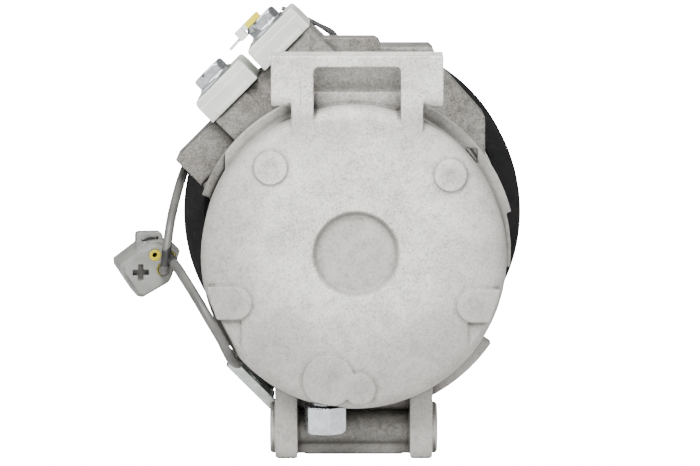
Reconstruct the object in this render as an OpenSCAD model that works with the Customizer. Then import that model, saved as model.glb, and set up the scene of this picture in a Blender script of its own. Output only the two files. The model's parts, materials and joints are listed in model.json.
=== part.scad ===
// Ten-cylinder swash-plate air-conditioning compressor for a vehicle, with a
// poly-V pulley and an electromagnetic clutch.
// Millimetres. The shaft axis runs along Y, the pulley is at +Y, Z is up and
// the origin is on the shaft axis in the middle plane of the belt.

/* [Housing] */
// Outer diameter of the rear and front housings
housing_d = 120; // [119:0.5:121]
// Radius that rounds the flat rear face into the side wall
housing_round = 6; // [4:0.5:7]
// Length of each cylinder-block half
block_len = 44; // [44:0.5:47]
// Height of the raised bolt pads on the rear face
pad_height = 1.1; // [0.6:0.1:2]
// Radius of the round recess in the middle of the rear face
recess_r = 17; // [14:0.5:19]

/* [Mounting lugs] */
// Radius of the four mounting-bolt holes
lug_hole_r = 5.25; // [4.25:0.25:5.5]
// Overall width of the upper lugs
upper_lug_w = 67; // [66:0.5:69]
// Height of the upper rear lug hole above the shaft axis
upper_lug_z = 70; // [69:0.5:71]
// Depth of the lower lug holes below the shaft axis
lower_lug_z = 70.5; // [70:0.5:72]

/* [Mechanism] */
// Radius of each cylinder bore
bore_r = 16.08; // [16.06:0.01:16.1]
// Radius of the circle through the bore centres
bore_pcd_r = 34.5; // [34.5:0.1:34.6]
// Full stroke of the double-headed pistons
stroke = 22; // [16:0.5:22]
// Radius of the swash plate
swash_r = 43.8; // [43.2:0.1:43.9]
// Sphere radius of the piston shoes
shoe_r = 11; // [10.8:0.1:11]
// Radius of the drive shaft in its needle bearings
shaft_r = 8.5; // [8.4:0.1:8.5]

/* [Clutch] */
// Outside diameter over the pulley flanges
pulley_d = 147; // [145:0.5:150]
// Width of the pulley rim
pulley_w = 32; // [32:0.5:34]
// Number of belt grooves
belt_grooves = 7; // [5:1:7]
// Air gap between the armature plate and the pulley
air_gap = 0.5; // [0.3:0.05:0.6]

/* [Ports] */
// Distance of the port face from the shaft axis
port_n = 75; // [74.5:0.5:76]
// Radius of the suction port
suction_port_r = 9.5; // [8.5:0.25:9.75]
// Radius of the discharge port
discharge_port_r = 8; // [6:0.25:8.5]

/* [Hidden] */
$fn = 96;

dl = block_len - 44;            // how far each end moves out with the block
belt_y = 102 + dl;              // belt plane, measured from the swash centre
hr = housing_d/2;
lug_shift = 1.3;                // the upper rear lug sits off the centre line
bolt_r = 50;                    // circle of the through bolts
bolt_angles = [-90, -18.6, 43, 131, 198.4];
pin_r = 53.3;                   // circle of the dowel pins
pin_angles = [108, -72];
bore_angles = [90, 18, -54, -126, 162];
tilt = atan(stroke/2/bore_pcd_r); // swash angle
n0 = [0, cos(tilt), sin(tilt)]; // swash normal with the plate at rest
shoe_flat = 3.54;               // swash centre plane to each shoe's flat
cast_light = [0.80, 0.79, 0.77];
cast_raw = [0.66, 0.63, 0.60];
steel = [0.70, 0.71, 0.73];
dark_steel = [0.40, 0.41, 0.43];
zinc = [0.80, 0.82, 0.86];
black = [0.09, 0.09, 0.10];
bronze = [0.70, 0.56, 0.36];

// ---------- helpers ----------
function pol(r, a) = [r*cos(a), r*sin(a)];
function unit(v) = v/norm(v);
module place() translate([0, -belt_y, 0]) children();
module rear() translate([0, -dl, 0]) children();
module front() translate([0, dl, 0]) children();
module cyl_y(r, a, b) translate([0, a, 0]) rotate([-90, 0, 0]) cylinder(r=r, h=b-a);
module cyl_x(r, a, b) translate([a, 0, 0]) rotate([0, 90, 0]) cylinder(r=r, h=b-a);
module ring_y(ro, ri, a, b) difference() { cyl_y(ro, a, b); cyl_y(ri, a-1, b+1); }
// sketch in X and Z, extruded along Y from a to b
module slab(a, b) translate([0, b, 0]) rotate([90, 0, 0]) linear_extrude(height=b-a) children();
// sketch in Y and Z, extruded along X from a to b
module bar_x(a, b) translate([a, 0, 0]) rotate([90, 0, 90]) linear_extrude(height=b-a) children();
// sketch of radius and distance along the shaft, turned about the shaft
module turn_y() rotate([-90, 0, 0]) rotate_extrude() children();
// point on a circle about the shaft, angle from +X towards +Z
module at(r, a) translate([r*cos(a), 0, r*sin(a)]) children();
module wedge(r, a, b) polygon([[0, 0], pol(1.6*r, a), pol(1.6*r, (a+b)/2), pol(1.6*r, b)]);
module arc(r, a, b) intersection() { circle(r=r); wedge(r, a, b); }
module rrect(x0, y0, x1, y1, r) {
  translate([x0+r, y0]) square([x1-x0-2*r, y1-y0]);
  translate([x0, y0+r]) square([x1-x0, y1-y0-2*r]);
  for (x = [x0+r, x1-r], y = [y0+r, y1-r]) translate([x, y]) circle(r=r, $fn=32);
}
module hexagon(af, h) cylinder(r=af/2/cos(30), h=h, $fn=6);
// frame of the port face: x runs up along the face, z points out of it
module portside() rotate([0, -45, 0]) children();
// frame of the lead bracket: x runs down along it, z points away from the shaft
module leadside() rotate([0, -135, 0]) children();
// open ring with a gap, for the circlips
module clip_y(ro, ri, a, b, gap) slab(a, b) difference() {
  circle(r=ro);
  circle(r=ri);
  translate([-gap/2, 0]) square([gap, ro+1]);
}
// round tube swept along a list of points; ref is a direction the path never follows
module sweep(p, r, ref, n=10) {
  m = len(p);
  tan = [for (i = [0:m-1]) unit(p[min(i+1, m-1)] - p[max(i-1, 0)])];
  pts = [for (i = [0:m-1]) let (u = unit(cross(tan[i], ref)), v = cross(tan[i], u))
    for (k = [0:n-1]) p[i] + r*cos(360*k/n)*u + r*sin(360*k/n)*v];
  sides = [for (i = [0:m-2], k = [0:n-1]) each [
    [i*n+k, (i+1)*n+k, i*n+(k+1)%n],
    [i*n+(k+1)%n, (i+1)*n+k, (i+1)*n+(k+1)%n]]];
  polyhedron(points=pts, faces=concat(sides,
    [[for (k = [0:n-1]) k]], [[for (k = [n-1:-1:0]) (m-1)*n+k]]), convexity=6);
}
// smooth path through control points
function catmull(q, i, t) = let (n = len(q)-1,
  a = q[max(i-1, 0)], b = q[i], c = q[i+1], d = q[min(i+2, n)])
  0.5*((2*b) + (c-a)*t + (2*a-5*b+4*c-d)*t*t + (3*b-a-3*c+d)*t*t*t);
function smooth(q, s) = concat([for (i = [0:len(q)-2], k = [0:s-1]) catmull(q, i, k/s)], [q[len(q)-1]]);

// ---------- rear housing ----------
module pads2d() {
  translate([-32.5, 36]) circle(r=6.6);
  translate([37.7, 33.1]) circle(r=6.4);
  translate([-46.4, -17.25]) circle(r=6.5);
  translate([-hr, -23.75]) square([hr-46.4, 13]);
  translate([46.8, -18.4]) circle(r=6.5);
  translate([46.8, -24.9]) square([hr-46.8, 13]);
  translate([-9.9, -48]) circle(r=10.2);
  translate([2.3, -51.3]) circle(r=6.3);
}
module bolt_holes(r, a, b) for (t = bolt_angles) at(bolt_r, t) cyl_y(r, a, b);
module pin_holes(r, a, b) for (t = pin_angles) at(pin_r, t) cyl_y(r, a, b);
module upper_rear_lug() difference() {
  union() {
    bar_x(lug_shift-upper_lug_w/2, lug_shift+upper_lug_w/2) {
      translate([-66.5, upper_lug_z]) circle(r=10.5);
      translate([-77, upper_lug_z-6.2]) square([17.5, 15.8]);
      translate([-73, upper_lug_z-6.2]) circle(r=4);
      translate([-73, upper_lug_z-10.2]) square([9, 5]);
    }
    slab(-77, -58) rrect(lug_shift-25.6, 40, lug_shift+25.6, upper_lug_z, 1);
  }
  slab(-78, -66.5) rrect(lug_shift-17, 48, lug_shift+17, upper_lug_z+5.2, 2.2);
  // the part of the lug under the disc is left to the disc
  cyl_y(hr-8, -90, -50);
}
module lower_lug(y, face, back, shift=0) difference() {
  union() {
    for (s = [-1, 1]) scale([s, 1, 1]) {
      slab(face, back) polygon([[22.3, -40], [31.2, -40], [31.2, 0.9-lower_lug_z-10.9],
        [30.3, -lower_lug_z-10.9], [23, -lower_lug_z-10.9], [22.3, 0.7-lower_lug_z-10.9]]);
      translate([0, y, -lower_lug_z]) cyl_x(10.2, 31, 32.6);
      translate([32.6, y, -lower_lug_z]) rotate([0, 90, 0]) cylinder(r1=10.2, r2=9.3, h=0.7);
    }
    translate([0, y, -lower_lug_z]) cyl_x(6.8, -23, 23);
    // lower web with hollowed ends
    difference() {
      slab(y-3, y+6) translate([-23, -lower_lug_z-10.5]) square([46, 4.8]);
      for (s = [-1, 1]) slab(y-5, y+8) translate([s*19.2, -lower_lug_z-16.1]) difference() {
        translate([-5, 0]) square([10, 6]);
        translate([s*-3.6, 0]) circle(r=6.6);
      }
    }
    slab(y+3, back) polygon([[-22.5, -48], [22.5, -48], [22.5, -lower_lug_z+2], [-22.5, -lower_lug_z+2]]);
    slab(y+1.5, back) polygon([[0.6, -48], [22.5, -48], [22.5, -lower_lug_z+5], [0.6, -lower_lug_z+5]]);
  }
  translate([0, y, -lower_lug_z]) cyl_x(lug_hole_r, -40, 40);
}
module rear_housing() color(cast_light) place() rear() difference() {
  union() {
    turn_y() {
      translate([0, -77]) square([hr-housing_round, 27.5]);
      translate([0, -77+housing_round]) square([hr, 27.5-housing_round]);
      translate([hr-housing_round, -77+housing_round]) circle(r=housing_round);
    }
    slab(-50, -42) difference() {
      union() {
        circle(r=60.3);
        arc(64.6, 14, 64);
        arc(62.6, -6, 16);
        arc(66.4, -63, -34);
        intersection() { arc(64.3, 108, 150); translate([-51, 0]) square([60, 80]); }
      }
      difference() { translate([42.4, 31]) square([6.8, 9.9]); circle(r=58.6); }
    }
    intersection() {
      slab(-77-pad_height, -76) pads2d();
      cyl_y(hr-1.5, -80, -70);
    }
    upper_rear_lug();
    lower_lug(-53.3, -64, -44);
  }
  // recess in the middle of the rear face
  translate([0.8, -77.01, 1.9]) rotate([-90, 0, 0]) cylinder(r1=recess_r, r2=recess_r-2.4, h=2.6);
  // the face steps back under the side pads
  slab(-78.5, -77+0.9) {
    translate([-hr-1, -46]) square([hr+1-44, 22.3]);
    translate([44.5, -46]) square([hr+1-44.5, 21.2]);
  }
  // seat of the valve plate and the gas chambers
  cyl_y(57, -49, -41);
  cyl_y(26, -70, -48);
  difference() {
    ring_y(45, 29, -70, -48);
    for (a = [0:72:359]) rotate([0, -a-54, 0]) translate([28, -71, -2]) cube([18, 22, 4]);
  }
  bolt_holes(3.35, -64, -48);
  pin_holes(1.55, -53.2, -48);
  translate([0, -66.5, upper_lug_z]) cyl_x(lug_hole_r, -40, 40);
  translate([-11.3, -68.5, -64]) cylinder(r=5.03, h=23);
  // flat seat of the relief valve
  translate([-11.3, -68.5, -70]) cylinder(r=9.1, h=10.95);
}

// ---------- valve plates, reeds and gaskets ----------
module sheet_holes(y0, y1) {
  bolt_holes(3.9, y0, y1);
  pin_holes(1.55, y0, y1);
}
module valve_plate(a, b, centre) difference() {
  cyl_y(56.9, a, b);
  sheet_holes(a-1, b+1);
  for (t = bore_angles) {
    at(22.6, t) cyl_y(2.6, a-1, b+1);
    at(36.5, t) cyl_y(4, a-1, b+1);
  }
  cyl_y(centre, a-1, b+1);
}
module rear_valve_plate() color(steel) place() rear() valve_plate(-48.3, -44.9, 2);
module front_valve_plate() color(steel) place() front() valve_plate(44.9, 48.3, 9.6);
module suction_sheet(a, b, centre) difference() {
  cyl_y(56.9, a, b);
  sheet_holes(a-1, b+1);
  cyl_y(centre, a-1, b+1);
  for (t = bore_angles) {
    at(22.6, t) cyl_y(3, a-1, b+1);
    // slot that frees each reed tongue
    rotate([0, -t, 0]) slab(a-1, b+1) difference() {
      union() { translate([36.5, 0]) circle(r=6.6); translate([28, -6.6]) square([8.5, 13.2]); }
      translate([36.5, 0]) circle(r=5.4);
      translate([27, -3.6]) square([9.5, 7.2]);
    }
  }
}
module suction_reeds() color(dark_steel) place() {
  rear() suction_sheet(-44.9, -44.6, 2);
  front() suction_sheet(44.6, 44.9, 9.6);
}
module reed_star(a, b, centre) slab(a, b) difference() {
  union() {
    circle(r=13.5);
    for (t = bore_angles) rotate(t) {
      translate([0, -3.2]) square([22.6, 6.4]);
      translate([22.6, 0]) circle(r=3.25);
    }
  }
  circle(r=centre);
}
module discharge_reeds() color(dark_steel) place() {
  rear() {
    reed_star(-48.6, -48.3, 2);
    // rivet that holds the star on its plate
    cyl_y(1.9, -49.4, -44.95);
    cyl_y(3.4, -50.2, -48.65);
  }
  front() reed_star(48.3, 48.6, 12.7);
}
module head_gasket(a, b) difference() {
  cyl_y(56.9, a, b);
  sheet_holes(a-1, b+1);
  cyl_y(26, a-1, b+1);
  difference() {
    ring_y(45, 29, a-1, b+1);
    for (t = [0:72:359]) rotate([0, -t-54, 0]) translate([28, a-2, -2]) cube([18, b-a+4, 4]);
  }
}
module block_gasket(a, b, centre) difference() {
  cyl_y(56.9, a, b);
  sheet_holes(a-1, b+1);
  cyl_y(centre, a-1, b+1);
  for (t = bore_angles) at(bore_pcd_r, t) cyl_y(bore_r+0.1, a-1, b+1);
}
module head_gaskets() color([0.25, 0.27, 0.25]) place() {
  rear() head_gasket(-49, -48.3);
  rear() block_gasket(-44.6, -44, 13);
  front() head_gasket(48.3, 49);
  front() block_gasket(44, 44.6, 13);
}

// ---------- cylinder blocks ----------
module block_cuts(a, b) {
  for (t = bore_angles) at(bore_pcd_r, t) cyl_y(bore_r, a, b);
  bolt_holes(3.9, a, b);
}
module block_body2d() {
  circle(r=56);
  for (t = bolt_angles) translate(pol(bolt_r, t)) circle(r=8);
}
module rear_cylinder_block() color(cast_raw) place() difference() {
  union() {
    rear() cyl_y(56.9, -44, -41.9);
    slab(-42-dl, 0) block_body2d();
    slab(-6, 0) circle(r=60);
    rear() slab(-42, -35) difference() {
      union() { circle(r=60.4); arc(64.3, 142, 160.5); arc(63, 66, 110); }
      difference() { translate([42.4, 31]) square([6.8, 9.9]); circle(r=57.8); }
    }
    // seat of the port manifold
    portside() translate([-25.8, -34, 20]) cube([74.4, 34, 40]);
  }
  block_cuts(-60, 1);
  cyl_y(45, -17.4, 1);
  cyl_y(12.32, -40, -17);
  cyl_y(4, -60, -39);
  // grooves for the seal rings
  ring_y(57.6, 55.6, -1.82, 1);
  rear() ring_y(60.25, 58.3, -43, -40.2);
  pin_holes(1.55, -5.2, 1);
  rear() pin_holes(1.55, -46, -38.8);
  // gas galleries and screw holes of the manifold
  portside() {
    translate([port_t[1], -3.9, 40]) cylinder(r=7, h=21);
    translate([port_t[0], -3.9, 47]) cylinder(r=6.5, h=14);
    translate([port_t[1], -24, 49.5]) cylinder(r=4.1, h=11);
    translate([port_t[0], -24, 51.5]) cylinder(r=4.1, h=9);
    for (q = manifold_screws) translate([q[0], q[1], 52.5]) cylinder(r=3.1, h=9);
  }
}
module front_cylinder_block() color(cast_raw) place() difference() {
  union() {
    front() cyl_y(56.9, 41.9, 44);
    slab(0, 42+dl) block_body2d();
    slab(0, 6) circle(r=60);
    front() slab(35, 42) circle(r=60.4);
    portside() translate([-25.8, 0, 20]) cube([74.4, 12, 39.9]);
    // muffler chamber on the top right
    slab(0.05, 32) difference() {
      union() {
        polygon([[-6, 40], [54.3, 25], [54.3, 49.2], [35.6, 70.2], [31, 73], [-6, 73]]);
        polygon([[-6, 66], [33.4, 66], [33.4, 76.4], [31.8, 78], [-6, 78]]);
      }
    }
    // boss of the lead bracket
    leadside() translate([-21, 1, 40]) cube([18, 15, 20]);
  }
  block_cuts(-1, 60);
  cyl_y(45, -1, 17.4);
  cyl_y(12.32, 17, 60);
  front() ring_y(60.25, 58.3, 40.2, 43);
  pin_holes(1.55, -1, 5.2);
  front() pin_holes(1.55, 38.8, 46);
  leadside() translate([-12, 8.5, 52.9]) cylinder(r=3.1, h=10);
  // muffler cavity with its own cover plate line
  slab(3, 29) polygon([[2, 59], [30, 52], [48, 40], [48, 46.5], [32, 64.5], [2, 69]]);
}
module seal_rings() color(black) place() {
  turn_y() translate([56.6, -0.91]) circle(r=0.9, $fn=24);
  rear() turn_y() translate([59.28, -41.1]) circle(r=0.88, $fn=24);
  front() turn_y() translate([59.28, 41.1]) circle(r=0.88, $fn=24);
  for (t = port_t) portside() translate([t, -3.9, 60.95]) rotate_extrude() translate([9.3, 0]) circle(r=0.9, $fn=24);
}
module dowel_pins() color(steel) place() {
  pin_holes(1.5, -5, 5);
  rear() pin_holes(1.5, -53, -39);
  front() pin_holes(1.5, 39, 53);
}
module through_bolts() color(zinc) place() for (t = bolt_angles) at(bolt_r, t) {
  rotate([0, 0, 0]) cyl_y(3.3, -62-dl, 76+dl);
  difference() {
    front() cyl_y(6.2, 76, 81.5);
    front() translate([0, 78, 0]) rotate([-90, 0, 0]) hexagon(6, 5);
  }
}

// ---------- front housing ----------
module front_housing() color(cast_light) place() front() difference() {
  union() {
    turn_y() {
      translate([0, 49]) square([hr, 22]);
      translate([0, 49]) square([hr-5, 27]);
      translate([hr-5, 71]) circle(r=5);
      translate([0, 70]) square([35, 17.4]);
      translate([0, 80]) square([19.5, 13]);
      translate([0, 92]) square([17.5, 24]);
    }
    slab(42, 50) { circle(r=60.4); arc(64, 20, 60); arc(64, 120, 160); arc(65, -62, -34); arc(64, 198, 236); }
    // upper front lug
    bar_x(-upper_lug_w/2, upper_lug_w/2) {
      translate([60, 60]) circle(r=10);
      translate([52, 42]) square([16, 18]);
    }
    lower_lug(60, 49.5, 70);
    // ribs from the bolt bosses to the nose
    for (t = [90, 18, -54, -126, 162]) rotate([0, -t, 0]) slab(75, 82) translate([30, -2]) square([22, 4]);
  }
  cyl_y(57, 41, 49);
  difference() {
    union() {
      ring_y(26, 12.8, 48, 66);
      difference() {
        ring_y(45, 29, 48, 66);
        for (a = [0:72:359]) rotate([0, -a-54, 0]) translate([28, 47, -2]) cube([18, 22, 4]);
      }
    }
  }
  cyl_y(9.5, 40, 130);
  cyl_y(14.5, 70, 130);
  bolt_holes(3.9, 40, 90);
  pin_holes(1.55, 40, 53.2);
  translate([0, 60, 60]) cyl_x(lug_hole_r, -40, 40);
  // circlip grooves: coil, bearing and seal
  ring_y(30, 18.6, 90.1, 91.7);
  ring_y(30, 16.55, 113.3, 114.9);
  ring_y(15.3, 9, 80.1, 81.7);
  at(27.5, 30) cyl_y(2.1, 82, 90);
}
module shaft_seal() color(black) place() front() turn_y() difference() {
  translate([8.06, 70.05]) square([6.42, 9.9]);
  translate([9.2, 71.5]) square([3.6, 6.6]);
  translate([8, 73.2]) square([2, 2.2]);
}
module circlips() color(dark_steel) place() front() {
  clip_y(22, 18.65, 90.15, 91.65, 6);
  clip_y(19.8, 16.6, 113.35, 114.85, 6);
  clip_y(15.25, 12.6, 80.15, 81.65, 6);
}

// ---------- port manifold, caps and fasteners ----------
port_t = [8, 37.6];
manifold_screws = [[-17.5, -14], [22.8, -9]];
module port_manifold() color(cast_raw) place() difference() {
  union() {
    portside() difference() {
      translate([-26.5, -34, 60.02]) cube([76.3, 45, port_n-60.02]);
      // the lower end steps back
      translate([-30, -35, 55]) cube([26.5, 6.5, 30]);
      // valley between the two port bosses
      translate([22.8, -38.5, 50]) cylinder(r=10.5, h=40);
      translate([22.8, 16, 50]) cylinder(r=9, h=40);
    }
    // arm that reaches over to the right
    slab(-27, -8) {
      rrect(-20, 76.1, 11, 83.4, 3.3);
      polygon([[-22, 70.1], [-12, 70.1], [-10, 77], [-10, 83.4], [-20, 83.4], [-25, 78.8]]);
    }
  }
  portside() {
    translate([port_t[1], -3.9, 50]) cylinder(r=suction_port_r, h=40);
    translate([port_t[0], -3.9, 50]) cylinder(r=discharge_port_r, h=40);
    for (t = port_t) {
      translate([t, -24, 50]) cylinder(r=4.1, h=40);
      // groove for the seal ring
      translate([t, -3.9, 59]) difference() { cylinder(r=10.3, h=2.9); cylinder(r=8.3, h=2.9); }
    }
    // recessed screws
    for (q = manifold_screws) {
      translate([q[0], q[1], 50]) cylinder(r=3.25, h=40);
      translate([q[0], q[1], 69.5]) cylinder(r=5.2, h=10);
    }
    // the seat of the cylinder block ends below this plane
    translate([-60, -60, 40]) cube([108.65, 120, 20]);
  }
  // clear of the front half's muffler
  slab(-0.05, 40) translate([-6.05, 60]) square([40, 18.1]);
}
module socket_screw(l) difference() {
  union() { translate([0, 0, -l]) cylinder(r=3, h=l+0.1); cylinder(r=5, h=5); }
  translate([0, 0, 2.2]) hexagon(5, 4);
}
module manifold_bolts() color(zinc) place() {
  portside() for (q = manifold_screws) translate([q[0], q[1], 69.5]) socket_screw(16);
}
module port_cap(t, pr) portside() translate([t, 0, port_n]) difference() {
  union() {
    // foot with a thin lip round it
    translate([-12.7, -34.6, 0.02]) cube([25.4, 45.6, 7.2]);
    translate([-8.6, -35.4, 0.02]) cube([17.2, 47.2, 2.2]);
    // block that carries the bolt, with sloped shoulders
    translate([0, 11-0.6, 0]) rotate([90, 0, 0]) linear_extrude(height=44.6)
      polygon([[-12.7, 7.1], [12.7, 7.1], [12.5, 9.6], [11.7, 10.6], [-11.7, 10.6], [-12.5, 9.6]]);
    translate([0, -3.9, -8]) cylinder(r=pr-0.15, h=9);
  }
  translate([0, -3.9, -9]) cylinder(r=pr-2, h=15);
  translate([0, -24, -1]) cylinder(r=4.2, h=14);
}
module suction_port_cap() color([0.93, 0.94, 0.92]) place() port_cap(port_t[1], suction_port_r);
module discharge_port_cap() color([0.93, 0.94, 0.92]) place() port_cap(port_t[0], discharge_port_r);
module flange_bolt(r, l, af, fr) union() {
  translate([0, 0, -l]) cylinder(r=r, h=l+0.1);
  cylinder(r=fr, h=1.5);
  intersection() {
    translate([0, 0, 1]) rotate(11) hexagon(af, 4.9);
    translate([0, 0, 1]) cylinder(r1=af/2+3.4, r2=af/2+0.25, h=4.9);
  }
}
module flange_bolts() color(zinc) place() {
  portside() for (t = port_t) translate([t, -24, port_n+10.62]) flange_bolt(3.95, 24.5, 13, 8.3);
  leadside() translate([-12, 8.5, 61.55]) flange_bolt(3, 8.3, 10, 5.8);
}
module marker_tie() color([0.93, 0.86, 0.10]) place() portside() translate([0, -24, port_n]) {
  // flag that lies on the upper bolt head
  translate([29.9, -4, 16.56]) cube([8.8, 8, 2.5]);
  // lock and cut tail
  translate([26.2, -3.2, 14.4]) cube([3.8, 6.4, 4.66]);
  translate([20.4, -1.7, 14.9]) rotate([0, -2, 0]) cube([7.2, 3.4, 1.3]);
}

// ---------- pressure relief valve ----------
module relief() translate([-11.3, -68.5-dl, 0]) children();
module relief_valve_body() color([0.88, 0.88, 0.85]) place() relief() difference() {
  union() {
    translate([0, 0, -69.8]) intersection() {
      rotate(90+11.4) hexagon(15.2, 10.7);
      cylinder(r1=7.8, r2=16, h=10.7);
    }
    translate([0, 0, -60]) cylinder(r=5, h=14);
  }
  translate([0, 0, -67.4]) cylinder(r=3.4, h=19.4);
  translate([0, 0, -49]) cylinder(r=1.7, h=4);
  translate([0, 0, -70.4]) cylinder(r=1.5, h=5);
}
module relief_valve_plunger() color(bronze) place() relief() {
  translate([0, 0, -51.2]) cylinder(r=3.3, h=3.15);
  translate([0, 0, -57.5]) cylinder(r=1.1, h=6.4);
}
module relief_valve_spring() color(steel) place() relief()
  sweep([for (i = [0:112]) [2.5*cos(i*20), 2.5*sin(i*20), -66.9 + 15.2*i/112]], 0.4, [0, 0, 1], 8);

// ---------- shaft, swash plate, shoes and pistons ----------
module drive_shaft() color(steel) place() difference() {
  union() {
    cyl_y(shaft_r, -38, -13);
    cyl_y(9, -13.2, 13.2);
    cyl_y(shaft_r, 13, 64+dl);
    front() cyl_y(8, 63, 90);
    front() cyl_y(6.5, 89, 119);
    front() for (k = [0:11]) rotate([0, 30*k, 0]) translate([6.1, 99, -0.6]) cube([0.9, 19, 1.2]);
  }
  front() cyl_y(3.02, 104, 120);
  front() translate([0, 119.01, 0]) rotate([90, 0, 0]) cylinder(r1=3.8, r2=3, h=0.8);
  cyl_y(2, -39, -20);
}
module tilted() rotate([tilt, 0, 0]) children();
module swash_plate() color(dark_steel) place() difference() {
  union() {
    tilted() cyl_y(swash_r, -3.18, 3.18);
    tilted() cyl_y(16.2, -9, 9);
    cyl_y(15, -13.2, 13.2);
  }
  cyl_y(9.02, -20, 20);
  // the tilted boss ends flush with the hub
  cyl_y(30, 13.2, 30);
  cyl_y(30, -30, -13.2);
}
module swash_facings() color(bronze) place() tilted() for (s = [-1, 1])
  scale([1, s, 1]) ring_y(swash_r-0.3, 19, 3.22, 3.5);
module shoe(i, s) place() {
  a = 90 - bore_angles[i];
  p = [bore_pcd_r*sin(a), -bore_pcd_r*tan(tilt)*cos(a), bore_pcd_r*cos(a)];
  translate(p) tilted() scale([1, s, 1]) difference() {
    intersection() {
      sphere(r=shoe_r);
      cyl_y(7, shoe_flat, 12);
    }
    // oil dimple in the flat
    cyl_y(2, 3, 4.1);
  }
}
module front_shoe_1() color(bronze) shoe(0, 1);
module front_shoe_2() color(bronze) shoe(1, 1);
module front_shoe_3() color(bronze) shoe(2, 1);
module front_shoe_4() color(bronze) shoe(3, 1);
module front_shoe_5() color(bronze) shoe(4, 1);
module rear_shoe_1() color(bronze) shoe(0, -1);
module rear_shoe_2() color(bronze) shoe(1, -1);
module rear_shoe_3() color(bronze) shoe(2, -1);
module rear_shoe_4() color(bronze) shoe(3, -1);
module rear_shoe_5() color(bronze) shoe(4, -1);
module piston(i) color([0.86, 0.86, 0.85]) place() {
  a = 90 - bore_angles[i];
  y = -bore_pcd_r*tan(tilt)*cos(a);
  translate([0, y, 0]) difference() {
    at(bore_pcd_r, bore_angles[i]) turn_y() difference() {
      translate([0, -32.5]) square([16, 65]);
      for (s = [-1, 1]) {
        translate([15.2, s*28-0.8]) square([2, 1.6]);
        translate([15.2, s*24.5-0.8]) square([2, 1.6]);
      }
    }
    // slot for the swash plate; only the outer bridge stays
    cyl_y(44.6, -9.2, 9.2);
    at(bore_pcd_r, bore_angles[i]) sphere(r=shoe_r+0.06);
    // lightening pockets on the inner side
    rotate([0, -bore_angles[i], 0]) for (s = [-1, 1]) translate([bore_pcd_r-22, s*15.7-2.6, -20]) cube([15, 5.2, 40]);
  }
}
module piston_1() piston(0);
module piston_2() piston(1);
module piston_3() piston(2);
module piston_4() piston(3);
module piston_5() piston(4);

// ---------- shaft bearings ----------
module needle_bearing_shells() color(steel) place() for (s = [-1, 1]) scale([1, s, 1]) turn_y() {
  translate([11.12, 18.5]) square([1.18, 19.2]);
  translate([9.7, 18.5]) square([1.8, 0.9]);
  translate([9.7, 36.8]) square([1.8, 0.9]);
}
module needle_rollers() color([0.85, 0.86, 0.88]) place() for (s = [-1, 1], k = [0:11])
  scale([1, s, 1]) at(9.81, 30*k) cyl_y(1.24, 20, 36.4);
module block_thrust_races() color(steel) place() for (s = [-1, 1])
  scale([1, s, 1]) ring_y(17.6, 9.8, 16.38, 17.38);
module hub_thrust_races() color(steel) place() for (s = [-1, 1])
  scale([1, s, 1]) ring_y(17.6, 8.6, 13.22, 14.22);
module thrust_rollers() color([0.85, 0.86, 0.88]) place() for (s = [-1, 1], k = [0:11])
  scale([1, s, 1]) rotate([0, 30*k, 0]) translate([0, 15.3, 0]) cyl_x(1, 11.6, 16.6);

// ---------- clutch ----------
module pulley() color(black) place() front() difference() {
  turn_y() difference() {
    union() {
      translate([62.6, 102-pulley_w/2]) square([pulley_d/2-62.6, pulley_w]);
      translate([27.52, 112]) square([36, 6]);
      translate([27.52, 91.2]) square([4.5, 24]);
      translate([26.2, 113.1]) square([2, 4.9]);
    }
    // belt grooves
    for (k = [0:belt_grooves-1]) translate([0, 102+(k-(belt_grooves-1)/2)*3.56])
      polygon([[pulley_d/2-4.9, -0.3], [pulley_d/2-1.9, -1.48], [pulley_d/2+1, -1.48],
        [pulley_d/2+1, 1.48], [pulley_d/2-1.9, 1.48], [pulley_d/2-4.9, 0.3]]);
    // land either side of the grooves is lower than the flanges
    translate([pulley_d/2-1.9, 102-belt_grooves*1.78]) square([3, belt_grooves*3.56]);
    // chamfered rims
    for (s = [-1, 1]) translate([pulley_d/2, 102+s*pulley_w/2]) rotate(45) square([1.5, 1.5], center=true);
    translate([62.6, 102-pulley_w/2]) rotate(45) square([3, 3], center=true);
    // friction-face grooves
    translate([35, 117.6]) square([1, 1]);
    translate([60, 117.6]) square([1, 1]);
  }
  // curved slots that split the magnetic path
  slab(111, 119) for (q = [[46.2, 43.6, 0], [55.4, 53, 30]]) difference() {
    circle(r=q[0]);
    circle(r=q[1]);
    for (k = [0:5]) rotate(60*k+q[2]) translate([0, -2.5]) square([70, 5]);
  }
}
module bearing_inner_race() color(steel) place() front() turn_y() difference() {
  translate([17.53, 93.05]) square([2.87, 20]);
  for (y = [98, 108]) translate([22.5, y]) circle(r=2.63);
}
module bearing_outer_race() color(steel) place() front() turn_y() difference() {
  translate([24.6, 93.05]) square([2.9, 20]);
  for (y = [98, 108]) translate([22.5, y]) circle(r=2.63);
}
module bearing_balls() color([0.85, 0.86, 0.88]) place() front()
  for (y = [98, 108], k = [0:11]) at(22.5, 30*k) translate([0, y, 0]) sphere(r=2.55);
module coil_housing() color(dark_steel) place() front() {
  difference() {
    turn_y() {
      translate([19.6, 87.42]) square([40.9, 2.5]);
      translate([57.5, 87.42]) square([3, 23]);
      translate([34, 87.42]) square([3, 23]);
    }
    // lead exit
    for (t = lead_angles) at(47, t) cyl_y(3, 86, 95);
  }
  at(27.5, 30) cyl_y(2, 83, 87.5);
}
module coil_winding() color([0.38, 0.16, 0.10]) place() front() ring_y(57.4, 37.1, 90.6, 108.5);
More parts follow.
